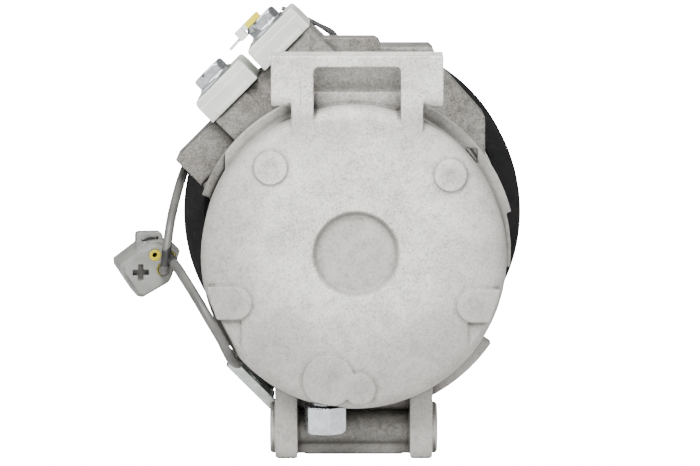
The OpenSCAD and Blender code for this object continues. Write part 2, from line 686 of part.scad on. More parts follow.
module clutch_hub() color(dark_steel) place() front() difference() {
  union() {
    cyl_y(11.5, 98, 124);
    slab(124, 126.6) difference() {
      circle(r=43);
      for (k = [0:2]) rotate(120*k+60) translate([39, 0]) circle(r=14);
    }
    cyl_y(20, 122, 124.2);
  }
  cyl_y(7.05, 97, 119.5);
  cyl_y(3.2, 97, 130);
  cyl_y(9.2, 122.5, 130);
  for (k = [0:2]) at(35, 120*k) cyl_y(2.05, 120, 130);
}
module clutch_springs() color([0.62, 0.64, 0.66]) place() front() for (k = [0:2]) rotate([0, -120*k, 0]) {
  // leaf from the hub arm to the armature stud
  slab(123.1, 123.9) difference() {
    union() {
      translate([35, 0]) circle(r=5.5);
      translate([40.5, 24.5]) circle(r=5.5);
      polygon([[29.6, 1.2], [40.3, -1.2], [45.9, 23.3], [35.1, 25.7]]);
    }
    translate([35, 0]) circle(r=2);
    translate([40.5, 24.5]) circle(r=3.3);
  }
  // rivet
  at(35, 0) { cyl_y(1.95, 122.9, 127); cyl_y(3.6, 126.65, 128); cyl_y(3.2, 122.3, 123.05); }
}
module armature_plate() color([0.45, 0.46, 0.48]) place() front() {
  difference() {
    ring_y(62, 31, 118+air_gap, 122);
    slab(117, 123) difference() {
      circle(r=50.8);
      circle(r=48.4);
      for (k = [0:2]) rotate(120*k+31) translate([0, -6]) square([70, 12]);
    }
  }
  for (k = [0:2]) rotate([0, -120*k, 0]) translate([40.5, 0, 24.5]) { cyl_y(3, 121.5, 124.6); cyl_y(2.8, 124.5, 125); }
}
module hub_bolt() color(zinc) place() front() {
  cyl_y(2.98, 106, 124);
  cyl_y(7.2, 122.52, 124);
  translate([0, 123.9, 0]) rotate([-90, 0, 0]) hexagon(10, 5.4);
}

// ---------- lead, connector and bracket ----------
// point at radius r and angle a about the shaft, at y
function ring_pt(r, a, y) = [r*cos(a), y, r*sin(a)];
function into_coil(a) = [ring_pt(68, a, 62+dl), ring_pt(64.5, a, 72+dl), ring_pt(59.5, a, 79+dl),
  ring_pt(52.5, a, 82+dl), ring_pt(48.2, a, 84.4+dl), ring_pt(47.05, a, 87+dl), ring_pt(47, a, 90+dl)];
lead_angles = [149, 222];
lead_a = smooth(concat([[-77.5, -33.36, -8.9], [-76.72, -37.79, -8.9], [-75.94, -42.22, -8.9],
  [-75.3, -45.8, -6.2], [-74.5, -45.4, 1], [-73, -38.5, 12], [-70.8, -23.5, 22], [-69, -6, 27.9],
  [-68.7, 14, 27.8], [-66.5, 40, 31.5]], into_coil(lead_angles[0])), 6);
lead_b = smooth(concat([[-74.95, -32.91, -3.9], [-74.25, -36.85, -3.9], [-73.55, -40.79, -3.9],
  [-72.2, -46.5, -4.6], [-68, -58, -8.5], [-61.2, -71, -17], [-56.3, -75.9, -24.5], [-52, -75.9, -31.9],
  [-48.7, -72.3, -39.3], [-46.3, -62, -43.4], [-45.6, -44, -44.8], [-45.7, -20, -44.5], [-46.4, 10, -45.4],
  [-48.6, 34, -46.4]], into_coil(lead_angles[1])), 6);
module coil_lead() color([0.52, 0.52, 0.51]) place() {
  sweep(lead_a, 1.85, unit([0.35, 0.2, -1]), 12);
  sweep(lead_b, 1.95, unit([1, 0.25, -0.9]), 12);
}
// frame of the connector: its back faces -Y
module connector() translate([-80.6, -40, -9.2]) rotate([0, 0, 10]) children();
cavities = [[1.1, 6.2], [6.8, 5.3], [4.2, 0.3]];
module connector_outline(k) scale([k, k]) polygon([[-11.3, 1.9], [-11, -0.4], [-5.2, -9.4], [-3.2, -9.8], [6, -4.7],
  [7, -3.2], [10.2, 6.4], [9.4, 7.8], [1.8, 10.3], [-0.2, 10]]);
module connector_housing() color([0.72, 0.73, 0.72]) place() connector() difference() {
  union() {
    slab(0, 3) connector_outline(1);
    slab(2.9, 28) connector_outline(1.14);
    // latch loop
    slab(7, 15) difference() {
      rrect(-5.4, 4, 5.2, 14.6, 1.6);
      rrect(-3.6, 10.9, 3.4, 13, 0.8);
    }
  }
  for (q = cavities) translate([q[0], -1, q[1]]) rotate([-90, 0, 0]) cylinder(r=2.5, h=12);
  // open cross-shaped cavity
  slab(-1, 5) { translate([-8, -1.9]) square([6.6, 2.3]); translate([-5.8, -4]) square([2.2, 6.6]); }
  // mating socket
  slab(13, 33) connector_outline(0.88);
}
module connector_seals() color([0.87, 0.80, 0.22]) place() connector()
  for (i = [0:2]) translate([cavities[i][0], 0.3, cavities[i][1]]) rotate([-90, 0, 0]) difference() {
    cylinder(r=2.45, h=7);
    translate([0, 0, -1]) cylinder(r=i == 0 ? 1 : 2.1, h=9);
  }
module lead_bracket() color([0.78, 0.80, 0.80]) place() leadside() difference() {
  union() {
    translate([-22, 0.5, 60.03]) cube([20, 16, 1.5]);
    translate([-22, 0.5, 60.03]) cube([20, 1.5, 10.4]);
    translate([-23.3, -38, 68.93]) cube([25.6, 40, 1.5]);
    translate([-23.3, -38, 66.1]) cube([25.6, 1.5, 4.3]);
    // hook that keeps the lead in place
    translate([0.9, -38, 65.9]) cube([1.4, 9, 4.5]);
  }
  translate([-12, 8.5, 55]) cylinder(r=3.3, h=10);
  translate([-12, -12, 67]) cylinder(r=3.5, h=5);
}

rear_housing();
rear_valve_plate();
front_valve_plate();
suction_reeds();
discharge_reeds();
head_gaskets();
rear_cylinder_block();
front_cylinder_block();
seal_rings();
front_housing();
through_bolts();
dowel_pins();
port_manifold();
manifold_bolts();
suction_port_cap();
discharge_port_cap();
flange_bolts();
relief_valve_body();
relief_valve_spring();
relief_valve_plunger();
shaft_seal();
needle_bearing_shells();
block_thrust_races();
bearing_inner_race();
circlips();
coil_housing();
coil_winding();
coil_lead();
connector_housing();
connector_seals();
lead_bracket();
marker_tie();
drive_shaft();
swash_plate();
hub_thrust_races();
clutch_hub();
clutch_springs();
hub_bolt();
swash_facings();
armature_plate();
pulley();
bearing_outer_race();
bearing_balls();
thrust_rollers();
needle_rollers();
piston_1();
piston_2();
piston_3();
piston_4();
piston_5();
front_shoe_1();
front_shoe_2();
front_shoe_3();
front_shoe_4();
front_shoe_5();
rear_shoe_1();
rear_shoe_2();
rear_shoe_3();
rear_shoe_4();
rear_shoe_5();
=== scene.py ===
import bpy, bmesh, json, math
import numpy as np
from mathutils import Vector, Euler, Matrix
from mathutils.bvhtree import BVHTree


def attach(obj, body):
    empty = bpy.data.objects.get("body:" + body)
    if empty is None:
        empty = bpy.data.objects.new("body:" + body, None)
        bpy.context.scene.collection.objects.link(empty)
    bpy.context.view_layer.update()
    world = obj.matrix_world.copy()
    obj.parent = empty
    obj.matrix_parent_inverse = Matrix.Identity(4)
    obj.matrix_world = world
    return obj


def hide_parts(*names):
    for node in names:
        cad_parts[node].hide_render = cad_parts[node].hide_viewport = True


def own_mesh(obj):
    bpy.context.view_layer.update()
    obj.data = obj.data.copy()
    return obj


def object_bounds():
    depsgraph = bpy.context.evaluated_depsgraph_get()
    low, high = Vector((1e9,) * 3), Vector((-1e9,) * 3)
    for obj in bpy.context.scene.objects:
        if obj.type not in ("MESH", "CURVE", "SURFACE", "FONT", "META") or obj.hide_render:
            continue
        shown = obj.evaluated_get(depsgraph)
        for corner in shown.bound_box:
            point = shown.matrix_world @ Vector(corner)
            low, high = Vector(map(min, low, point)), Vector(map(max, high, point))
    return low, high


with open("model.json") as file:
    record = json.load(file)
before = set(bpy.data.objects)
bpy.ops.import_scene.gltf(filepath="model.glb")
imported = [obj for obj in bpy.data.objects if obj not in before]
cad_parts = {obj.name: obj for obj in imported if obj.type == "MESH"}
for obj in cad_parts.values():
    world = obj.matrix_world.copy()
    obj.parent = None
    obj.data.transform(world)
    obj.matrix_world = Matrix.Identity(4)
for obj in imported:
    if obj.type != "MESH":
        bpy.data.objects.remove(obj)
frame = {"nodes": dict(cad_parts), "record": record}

sc = bpy.context.scene
lo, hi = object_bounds()
nodes = frame["nodes"]
slots = {s["node"]: s["material_slot"] for s in frame["record"]["subparts"]}
node_body = {n: b for b, ns in frame["record"]["behaviour"]["bodies"].items() for n in ns}
MM = 0.001
BY = 0.102          # the belt plane measured from the swash centre, as in the CAD part


# ------------------------------------------------------------------ materials
class Mat:
    """Builds one procedural material. Textures use object space, in millimetres."""

    def __init__(self, name):
        self.m = bpy.data.materials.new(name)
        self.m.use_nodes = True
        self.t = self.m.node_tree
        self.t.nodes.clear()
        self.out = self.n("ShaderNodeOutputMaterial")
        self.b = self.n("ShaderNodeBsdfPrincipled")
        self.l(self.b.outputs[0], self.out.inputs[0])
        tc = self.n("ShaderNodeTexCoord")
        mp = self.n("ShaderNodeVectorMath"); mp.operation = "SCALE"
        self.l(tc.outputs["Object"], mp.inputs[0]); mp.inputs["Scale"].default_value = 1000
        self.co = mp.outputs[0]

    def n(self, kind):
        return self.t.nodes.new(kind)

    def l(self, a, b):
        self.t.links.new(a, b)

    def put(self, sock, v):
        if isinstance(v, bpy.types.NodeSocket):
            self.l(v, sock)
        elif isinstance(v, (tuple, list)) and len(v) == 3 and sock.type == "RGBA":
            sock.default_value = (*v, 1)
        else:
            sock.default_value = v

    def math(self, op, a, b=0.0, clamp=False):
        x = self.n("ShaderNodeMath"); x.operation = op; x.use_clamp = clamp
        self.put(x.inputs[0], a); self.put(x.inputs[1], b)
        return x.outputs[0]

    def ramp(self, v, a, b, lo_=0.0, hi_=1.0):
        x = self.n("ShaderNodeMapRange"); x.interpolation_type = "SMOOTHSTEP"
        self.put(x.inputs["Value"], v)
        x.inputs["From Min"].default_value = a; x.inputs["From Max"].default_value = b
        x.inputs["To Min"].default_value = lo_; x.inputs["To Max"].default_value = hi_
        return x.outputs["Result"]

    def mix(self, f, a, b, mode="MIX"):
        x = self.n("ShaderNodeMix"); x.data_type = "RGBA"; x.blend_type = mode
        self.put(x.inputs[0], f); self.put(x.inputs[6], a); self.put(x.inputs[7], b)
        return x.outputs[2]

    def stretch(self, s):
        x = self.n("ShaderNodeVectorMath"); x.operation = "MULTIPLY"
        self.l(self.co, x.inputs[0]); x.inputs[1].default_value = s
        return x.outputs[0]

    def noise(self, scale, detail=3.0, rough=0.5, co=None, dist=0.0):
        x = self.n("ShaderNodeTexNoise")
        self.l(co or self.co, x.inputs["Vector"])
        x.inputs["Scale"].default_value = scale; x.inputs["Detail"].default_value = detail
        x.inputs["Roughness"].default_value = rough; x.inputs["Distortion"].default_value = dist
        return x.outputs["Fac"]

    def specks(self, scale, size, keep=0.35):
        """Small sparse dots: 1 inside a dot."""
        v = self.n("ShaderNodeTexVoronoi"); self.l(self.co, v.inputs["Vector"])
        v.inputs["Scale"].default_value = scale
        dot = self.ramp(v.outputs["Distance"], size, size * 0.45)
        sep = self.n("ShaderNodeSeparateColor"); self.l(v.outputs["Color"], sep.inputs[0])
        return self.math("MULTIPLY", dot, self.ramp(sep.outputs[0], keep, keep - 0.1))

    def ao(self, dist, samples=6):
        x = self.n("ShaderNodeAmbientOcclusion"); x.samples = samples
        x.inputs["Distance"].default_value = dist * MM
        return x.outputs["AO"]

    def edge(self, radius, samples=4):
        """1 on convex and concave corners, 0 on plain faces."""
        bv = self.n("ShaderNodeBevel"); bv.samples = samples
        bv.inputs["Radius"].default_value = radius * MM
        g = self.n("ShaderNodeNewGeometry")
        d = self.n("ShaderNodeVectorMath"); d.operation = "DOT_PRODUCT"
        self.l(bv.outputs[0], d.inputs[0]); self.l(g.outputs["Normal"], d.inputs[1])
        return self.ramp(d.outputs["Value"], 0.985, 0.86)

    def radial(self):
        """Distance from the shaft axis in mm, for turned faces."""
        s = self.n("ShaderNodeSeparateXYZ"); self.l(self.co, s.inputs[0])
        r2 = self.math("ADD", self.math("MULTIPLY", s.outputs[0], s.outputs[0]), self.math("MULTIPLY", s.outputs[2], s.outputs[2]))
        return self.math("SQRT", r2), s.outputs[1]

    def bump(self, height, strength, dist_mm, base=None):
        x = self.n("ShaderNodeBump"); x.inputs["Strength"].default_value = strength
        x.inputs["Distance"].default_value = dist_mm * MM
        self.l(height, x.inputs["Height"])
        if base is not None:
            self.l(base, x.inputs["Normal"])
        return x.outputs[0]

    def done(self, col, rough, metal, normal=None, **extra):
        self.put(self.b.inputs["Base Color"], col)
        self.put(self.b.inputs["Roughness"], rough)
        self.put(self.b.inputs["Metallic"], metal)
        if normal is not None:
            self.l(normal, self.b.inputs["Normal"])
        for k, v in extra.items():
            self.put(self.b.inputs[k.replace("_", " ")], v)
        return self.m


def casting(name, light, mid, dark, dirt_and_shade, rough, metal, mottle, mottle_k, grain, speck_keep, hollow_shade_k, step_shade_k, orange, marks=None):
    m = Mat(name)
    big = m.noise(0.045, 3, 0.55, dist=0.4)
    med = m.noise(mottle, 4, 0.62)
    fine = m.noise(1.25, 4, 0.78)
    c = m.mix(m.ramp(big, 0.36, 0.66), mid, light)
    c = m.mix(m.ramp(med, 0.60, 0.38, 0, mottle_k), c, dark)
    blot = m.noise(0.22, 4, 0.66, dist=0.3)
    c = m.mix(m.ramp(blot, 0.56, 0.36, 0, mottle_k * 1.6), c, dark)
    c = m.mix(m.ramp(blot, 0.50, 0.66, 0, mottle_k * 1.3), c, light)
    c = m.mix(m.ramp(fine, 0.48, 0.66, 0, grain), c, light)
    c = m.mix(m.ramp(fine, 0.51, 0.33, 0, grain), c, dark)
    # pores and specks
    c = m.mix(m.math("MULTIPLY", m.specks(0.40, 0.095, speck_keep), 0.7), c, dirt_and_shade)
    c = m.mix(m.math("MULTIPLY", m.specks(0.12, 0.040, 0.45), 0.8), c, dirt_and_shade)
    # soot and handling marks
    smear = m.math("MULTIPLY", m.ramp(m.noise(0.10, 5, 0.65, dist=1.2), 0.60, 0.78), 0.22)
    c = m.mix(smear, c, dirt_and_shade)
    # long thin scratches
    sk = m.noise(0.55, 2, 0.4, co=m.stretch((0.10, 1.0, 1.6)), dist=0.25)
    scratch = m.math("MULTIPLY", m.ramp(m.math("ABSOLUTE", m.math("SUBTRACT", sk, 0.5)), 0.0022, 0.0006),
                     m.ramp(m.noise(0.05, 2), 0.55, 0.68))
    c = m.mix(m.math("MULTIPLY", scratch, 0.35), c, dark)
    if marks is not None:
        c = marks(m, c, dark, dirt_and_shade)
    # painted shade darkens the corners and hollows and draws thin dark lines at the feet of small steps; edges are
    # rubbed bright
    c = m.mix(m.ramp(m.ao(9.0), 0.88, 0.30, 0, hollow_shade_k), c, dirt_and_shade)
    c = m.mix(m.ramp(m.ao(1.8, 8), 0.985, 0.68, 0, step_shade_k), c, tuple(v * 0.5 for v in dirt_and_shade))
    e = m.edge(0.7)
    c = m.mix(m.math("MULTIPLY", e, m.ramp(med, 0.35, 0.65, 0.08, 0.34)), c, light)
    r = m.ramp(fine, 0.3, 0.7, rough - 0.08, rough + 0.10)
    n = m.bump(m.noise(0.85, 3, 0.55), orange, 0.14)
    n = m.bump(fine, 0.45, 0.09, n)
    return m.done(c, r, metal, n)


def rear_marks_and_shade(m, c, dark, dirt_and_shade):
    """Marks of handling on the rear housing, and painted shade at the upper pads, the recess wall, the rim of the face,
    the upper lug window and the lower tube, placed by where they are on the casting.
    """
    s = m.n("ShaderNodeSeparateXYZ"); m.l(m.co, s.inputs[0])
    x, y, z = s.outputs[0], m.math("ADD", s.outputs[1], BY / MM), s.outputs[2]
    patch = m.noise(0.42, 5, 0.7, dist=0.8)

    def away(cx, cz):
        dx = m.math("SUBTRACT", x, cx); dz = m.math("SUBTRACT", z, cz)
        return m.math("SQRT", m.math("ADD", m.math("MULTIPLY", dx, dx), m.math("MULTIPLY", dz, dz)))

    face = m.ramp(y, -72.0, -74.0)
    for cx, cz, r, k in ((-32.5, 36, 6.6, 0.42), (37.7, 33.1, 6.4, 0.46), (-46.4, -17.25, 6.5, 0.30),
                         (46.8, -18.4, 6.5, 0.34), (-9.9, -48, 10.2, 0.30), (2.3, -51.3, 6.3, 0.20)):
        d = away(cx, cz)
        spot = m.math("MULTIPLY", m.ramp(d, r * 0.80, r * 0.25), m.ramp(patch, 0.38, 0.62, 0.15, 1.0))
        c = m.mix(m.math("MULTIPLY", m.math("MULTIPLY", spot, face), k), c, dirt_and_shade)
        # painted shade: a dark outline at the foot of each upper pad
        if cz > 0:
            ring = m.math("MULTIPLY", m.ramp(m.math("ABSOLUTE", m.math("SUBTRACT", d, r + 0.15)), 0.75, 0.15), face)
            c = m.mix(m.math("MULTIPLY", ring, 0.30), c, dirt_and_shade)
    # the round recess keeps its grey casting skin; a painted shade ring darkens its wall, strongest at the top
    d = away(0.8, 1.9)
    c = m.mix(m.math("MULTIPLY", m.ramp(d, 17.2, 15.8), 0.50), c, dark)
    ring = m.ramp(m.math("ABSOLUTE", m.math("SUBTRACT", d, 16.2)), 1.5, 0.4)
    c = m.mix(m.math("MULTIPLY", ring, m.ramp(z, -16.0, 14.0, 0.26, 0.60)), c, dirt_and_shade)
    # one long faint curved scratch low on the left of the face
    d = away(-6.0, 21.5)
    arc = m.math("MULTIPLY", m.ramp(m.math("ABSOLUTE", m.math("SUBTRACT", d, 52.3)), 0.45, 0.12),
                 m.math("MULTIPLY", m.ramp(x, -36.5, -38.5), m.ramp(z, -0.5, -3.0)))
    c = m.mix(m.math("MULTIPLY", m.math("MULTIPLY", arc, face), 0.30), c, dirt_and_shade)
    # painted shade: the flat face darkens towards its rim, except under the upper lug, and stays lightest in the middle
    # and upper part
    d = away(2.0, 14.0)
    c = m.mix(m.math("MULTIPLY", m.ramp(d, 26.0, 62.0, 0, 0.62), m.ramp(z, 64.0, 52.0)), c, dark)
    # painted shade: the inside of the upper lug window is darkened, and the lower tube between the legs is painted
    # near-black for its raw skin and the shade between the legs
    low = m.math("MULTIPLY", m.math("MULTIPLY", m.ramp(z, -61.0, -64.5), m.ramp(z, -77.3, -76.0)), m.ramp(m.math("ABSOLUTE", x), 22.6, 21.6))
    c = m.mix(m.math("MULTIPLY", low, m.ramp(patch, 0.35, 0.65, 0.55, 0.80)), c, (0.085, 0.079, 0.070))
    win = m.math("MULTIPLY", m.math("MULTIPLY", m.ramp(y, -74.5, -72.5), m.ramp(m.math("ABSOLUTE", m.math("SUBTRACT", x, 1.3)), 17.4, 16.4)),
                 m.math("MULTIPLY", m.ramp(z, 76.5, 75.0), m.ramp(z, 50.0, 53.0)))
    c = m.mix(m.math("MULTIPLY", win, m.ramp(patch, 0.35, 0.65, 0.0, 0.22)), c, dirt_and_shade)
    # a hairline casting seam beside the upper window
    seam = m.math("MULTIPLY", m.ramp(m.math("ABSOLUTE", m.math("SUBTRACT", m.math("ADD", x, m.math("MULTIPLY", patch, 0.8)), -20.3)), 0.30, 0.08),
                  m.math("MULTIPLY", m.ramp(z, 72.0, 70.0), m.ramp(z, 59.5, 61.0)))
    return m.mix(m.math("MULTIPLY", seam, 0.45), c, dirt_and_shade)


def machined(name, col, dark, rough, ring=True, metal=1.0, wear=0.5, rings=2.2, dirt_and_shade=(0.03, 0.027, 0.022), ao_mm=2.0):
    m = Mat(name)
    r, y = m.radial()
    fine = m.noise(1.6, 4, 0.6)
    big = m.noise(0.12, 4, 0.6)
    if ring:
        cmb = m.n("ShaderNodeCombineXYZ"); m.l(r, cmb.inputs[0]); m.l(y, cmb.inputs[1])
        lines = m.noise(rings, 4, 0.7, co=cmb.outputs[0])
    else:
        lines = m.noise(1.4, 4, 0.7, co=m.stretch((0.12, 1.0, 1.0)))
    c = m.mix(m.ramp(lines, 0.35, 0.65, 0, 0.55), col, tuple(min(1, k * 1.18) for k in col))
    c = m.mix(m.ramp(big, 0.45, 0.70, 0, 0.6), c, dark)
    # painted shade darkens the corners and hollows
    c = m.mix(m.ramp(m.ao(ao_mm), 0.85, 0.2, 0, 0.75), c, dirt_and_shade)
    e = m.edge(0.35)
    c = m.mix(m.math("MULTIPLY", e, wear), c, tuple(min(1, k * 1.45 + 0.04) for k in col))
    c = m.mix(m.math("MULTIPLY", m.specks(0.5, 0.06, 0.3), 0.5), c, dirt_and_shade)
    rr = m.ramp(lines, 0.3, 0.7, rough - 0.07, rough + 0.10)
    rr = m.math("ADD", rr, m.ramp(big, 0.45, 0.75, 0, 0.12))
    n = m.bump(lines, 0.25, 0.03)
    n = m.bump(fine, 0.12, 0.02, n)
    return m.done(c, rr, metal, n)


def plated(name, col, tint, rough):
    m = Mat(name)
    cloud = m.noise(0.22, 4, 0.6, dist=0.8)
    fine = m.noise(2.2, 4, 0.65)
    c = m.mix(m.ramp(cloud, 0.35, 0.65), col, tint)
    c = m.mix(m.ramp(m.noise(0.5, 5, 0.7), 0.60, 0.74, 0, 0.55), c, (0.30, 0.28, 0.25))
    # painted shade darkens the corners and hollows
    c = m.mix(m.ramp(m.ao(1.6), 0.85, 0.2, 0, 0.8), c, (0.05, 0.045, 0.04))
    c = m.mix(m.math("MULTIPLY", m.edge(0.35), 0.45), c, (0.95, 0.96, 0.98))
    c = m.mix(m.math("MULTIPLY", m.specks(0.7, 0.08, 0.3), 0.45), c, (0.12, 0.11, 0.10))
    rr = m.ramp(fine, 0.3, 0.7, rough - 0.06, rough + 0.12)
    n = m.bump(fine, 0.20, 0.03)
    n = m.bump(m.noise(0.5, 2, 0.5), 0.15, 0.08, n)
    return m.done(c, rr, 1.0, n)


def plastic(name, col, col2, rough, sss=0.0, coat=0.0, wear=(0.8, 0.8, 0.78), dirt_and_shade=(0.12, 0.11, 0.09), wear_k=0.25, pos_white=None, pos_dark=None, trans=0.0):
    m = Mat(name)
    big = m.noise(0.10, 3, 0.5)
    fine = m.noise(1.8, 4, 0.6)
    c = m.mix(m.ramp(big, 0.35, 0.65), col, col2)
    if pos_white is not None:
        c = m.mix(pos_white(m), c, (0.78, 0.78, 0.76))
    if pos_dark is not None:
        c = m.mix(pos_dark(m), c, (0.018, 0.018, 0.018))
    c = m.mix(m.ramp(m.noise(0.35, 5, 0.7), 0.60, 0.76, 0, 0.22), c, dirt_and_shade)
    # painted shade darkens the corners and hollows
    c = m.mix(m.ramp(m.ao(1.4), 0.85, 0.15, 0, 0.45), c, dirt_and_shade)
    c = m.mix(m.math("MULTIPLY", m.edge(0.4), wear_k), c, wear)
    c = m.mix(m.math("MULTIPLY", m.specks(0.45, 0.06, 0.25), 0.35), c, dirt_and_shade)
    # scuffs
    sk = m.noise(0.7, 2, 0.4, co=m.stretch((1.0, 0.2, 1.3)), dist=0.3)
    scuff = m.math("MULTIPLY", m.ramp(m.math("ABSOLUTE", m.math("SUBTRACT", sk, 0.5)), 0.004, 0.001), 0.25)
    c = m.mix(scuff, c, wear)
    rr = m.math("ADD", m.ramp(fine, 0.3, 0.7, rough - 0.06, rough + 0.08), m.math("MULTIPLY", scuff, 0.3))
    n = m.bump(fine, 0.15, 0.03)
    n = m.bump(m.noise(0.25, 2, 0.5), 0.18, 0.15, n)
    kw = {}
    if sss:
        kw["Subsurface_Weight"] = sss
        m.b.inputs["Subsurface Radius"].default_value = (1, 0.95, 0.85)
        m.b.inputs["Subsurface Scale"].default_value = 0.0035
    if coat:
        kw["Coat_Weight"] = coat
    if trans:
        kw["Transmission_Weight"] = trans
    return m.done(c, rr, 0.0, n, **kw)


def painted():
    m = Mat("black_paint")
    r, y = m.radial()
    big = m.noise(0.08, 4, 0.6, dist=0.5)
    fine = m.noise(1.5, 4, 0.65)
    cmb = m.n("ShaderNodeCombineXYZ"); m.l(r, cmb.inputs[0]); m.l(y, cmb.inputs[1])
    lines = m.noise(1.2, 3, 0.6, co=cmb.outputs[0])
    c = m.mix(m.ramp(big, 0.35, 0.7), (0.0045, 0.0045, 0.0048), (0.0095, 0.0092, 0.009))
    c = m.mix(m.ramp(lines, 0.5, 0.75, 0, 0.30), c, (0.018, 0.018, 0.019))
    dust = m.math("MULTIPLY", m.ramp(m.noise(0.3, 6, 0.7, dist=1.0), 0.56, 0.80), 0.16)
    c = m.mix(dust, c, (0.10, 0.095, 0.088))
    e = m.edge(0.45)
    worn = m.math("MULTIPLY", e, m.ramp(m.noise(0.9, 5, 0.7), 0.48, 0.62))
    c = m.mix(m.math("MULTIPLY", worn, 0.55), c, (0.32, 0.31, 0.30))
    c = m.mix(m.math("MULTIPLY", m.specks(0.30, 0.06, 0.35), 0.5), c, (0.16, 0.155, 0.15))
    rr = m.math("ADD", m.ramp(fine, 0.3, 0.7, 0.42, 0.56), m.math("MULTIPLY", dust, 0.6))
    n = m.bump(m.noise(0.7, 3, 0.5), 0.22, 0.08)
    n = m.bump(fine, 0.12, 0.03, n)
    return m.done(c, rr, 0.0, n, Specular_IOR_Level=0.16)


def winding():
    m = Mat("winding")
    r, y = m.radial()
    w = m.n("ShaderNodeTexWave"); w.wave_type = "BANDS"; w.bands_direction = "X"
    cmb = m.n("ShaderNodeCombineXYZ"); m.l(m.math("ADD", r, m.math("MULTIPLY", y, 1.0)), cmb.inputs[0])
    m.l(cmb.outputs[0], w.inputs["Vector"]); w.inputs["Scale"].default_value = 0.55
    w.inputs["Distortion"].default_value = 0.4
    fine = m.noise(1.5, 4, 0.6)
    c = m.mix(w.outputs["Fac"], (0.10, 0.035, 0.018), (0.42, 0.17, 0.08))
    c = m.mix(m.ramp(fine, 0.4, 0.7, 0, 0.5), c, (0.18, 0.08, 0.05))
    c = m.mix(m.math("MULTIPLY", m.edge(0.5), 0.4), c, (0.55, 0.27, 0.14))
    n = m.bump(w.outputs["Fac"], 0.5, 0.15)
    n = m.bump(fine, 0.2, 0.04, n)
    return m.done(c, m.ramp(fine, 0.3, 0.7, 0.35, 0.6), 0.0, n, Coat_Weight=0.3)


def tail_is_white(m):
    """1 on the lock and tail of the marker tie, 0 on its flag."""
    s = m.n("ShaderNodeSeparateXYZ"); m.l(m.co, s.inputs[0])
    t = m.math("MULTIPLY", m.math("ADD", s.outputs[0], s.outputs[2]), 0.70710678)
    return m.ramp(t, 32.0, 31.7)


def taped(m):
    """1 on the few millimetres of black tape where the lower lead leaves the connector."""
    s = m.n("ShaderNodeSeparateXYZ"); m.l(m.co, s.inputs[0])
    d = m.n("ShaderNodeVectorMath"); d.operation = "DISTANCE"
    m.l(m.co, d.inputs[0]); d.inputs[1].default_value = (-73.0, -43.5 - BY / MM, -4.2)
    return m.math("MULTIPLY", m.ramp(d.outputs["Value"], 6.4, 6.0), m.ramp(s.outputs[2], -6.9, -6.5))


CL = ((0.80, 0.79, 0.755), (0.60, 0.59, 0.562), (0.215, 0.208, 0.190), (0.060, 0.053, 0.044))
MATS = {
    "cast_light": casting("cast_light", CL[0], CL[1], CL[2], CL[3], 0.62, 0.20, 0.8, 0.17, 0.70, 0.42, 0.80, 0.95, 0.45),
    "cast_rear": casting("cast_rear", CL[0], CL[1], CL[2], CL[3], 0.62, 0.20, 0.8, 0.17, 0.70, 0.42, 0.80, 0.95, 0.45, rear_marks_and_shade),
    "cast_raw": casting("cast_raw", (0.31, 0.30, 0.278), (0.190, 0.181, 0.165), (0.062, 0.057, 0.049), (0.020, 0.017, 0.014),
                        0.60, 0.30, 0.55, 0.26, 0.80, 0.45, 0.80, 0.92, 0.55),
    "steel": machined("steel", (0.56, 0.565, 0.58), (0.40, 0.40, 0.41), 0.27),
    "dark_steel": machined("dark_steel", (0.20, 0.205, 0.215), (0.12, 0.12, 0.125), 0.38, wear=0.6),
    "zinc": plated("zinc", (0.60, 0.62, 0.66), (0.47, 0.49, 0.49), 0.20),
    "plated_sheet": plated("plated_sheet", (0.52, 0.55, 0.54), (0.40, 0.43, 0.40), 0.30),
    "black_paint": painted(),
    "bronze": machined("bronze", (0.52, 0.33, 0.15), (0.34, 0.21, 0.10), 0.36, wear=0.4),
    "piston_coat": machined("piston_coat", (0.70, 0.70, 0.69), (0.52, 0.52, 0.50), 0.34, wear=0.3),
    "gasket": plastic("gasket", (0.045, 0.052, 0.050), (0.065, 0.072, 0.070), 0.62, wear=(0.16, 0.16, 0.16)),
    "rubber": plastic("rubber", (0.016, 0.016, 0.017), (0.026, 0.026, 0.026), 0.55, wear=(0.08, 0.08, 0.08)),
    "cap_plastic": plastic("cap_plastic", (0.61, 0.645, 0.588), (0.68, 0.705, 0.655), 0.40, sss=0.5,
                           wear=(0.86, 0.87, 0.85), dirt_and_shade=(0.42, 0.42, 0.38), wear_k=0.35, coat=0.1),
    "connector_grey": plastic("connector_grey", (0.165, 0.166, 0.155), (0.225, 0.225, 0.211), 0.45, wear=(0.40, 0.40, 0.38), dirt_and_shade=(0.05, 0.046, 0.04)),
    "seal_yellow": plastic("seal_yellow", (0.44, 0.37, 0.012), (0.52, 0.45, 0.03), 0.45, wear=(0.62, 0.57, 0.16), dirt_and_shade=(0.14, 0.12, 0.02)),
    "tie_yellow": plastic("tie_yellow", (0.74, 0.60, 0.0), (0.80, 0.68, 0.004), 0.35, wear=(0.88, 0.80, 0.16), dirt_and_shade=(0.34, 0.28, 0.02),
                          pos_white=tail_is_white, coat=0.2),
    "cable_grey": plastic("cable_grey", (0.080, 0.079, 0.074), (0.110, 0.108, 0.102), 0.42, wear=(0.20, 0.197, 0.19), dirt_and_shade=(0.05, 0.047, 0.042), pos_dark=taped),
    "winding": winding(),
    "dark_strap": plastic("dark_strap", (0.030, 0.030, 0.031), (0.045, 0.045, 0.046), 0.45, wear=(0.16, 0.16, 0.16)),
}


# ------------------------------------------------------------------ meshes
def set_smooth(me, angle=None):
    me.polygons.foreach_set("use_smooth", np.ones(len(me.polygons), bool))
    if angle is not None:
        bm = bmesh.new(); bm.from_mesh(me)
        for e in bm.edges:
            e.smooth = not (len(e.link_faces) == 2 and e.calc_face_angle(0) > angle)
        bm.to_mesh(me); bm.free()
    me.update()


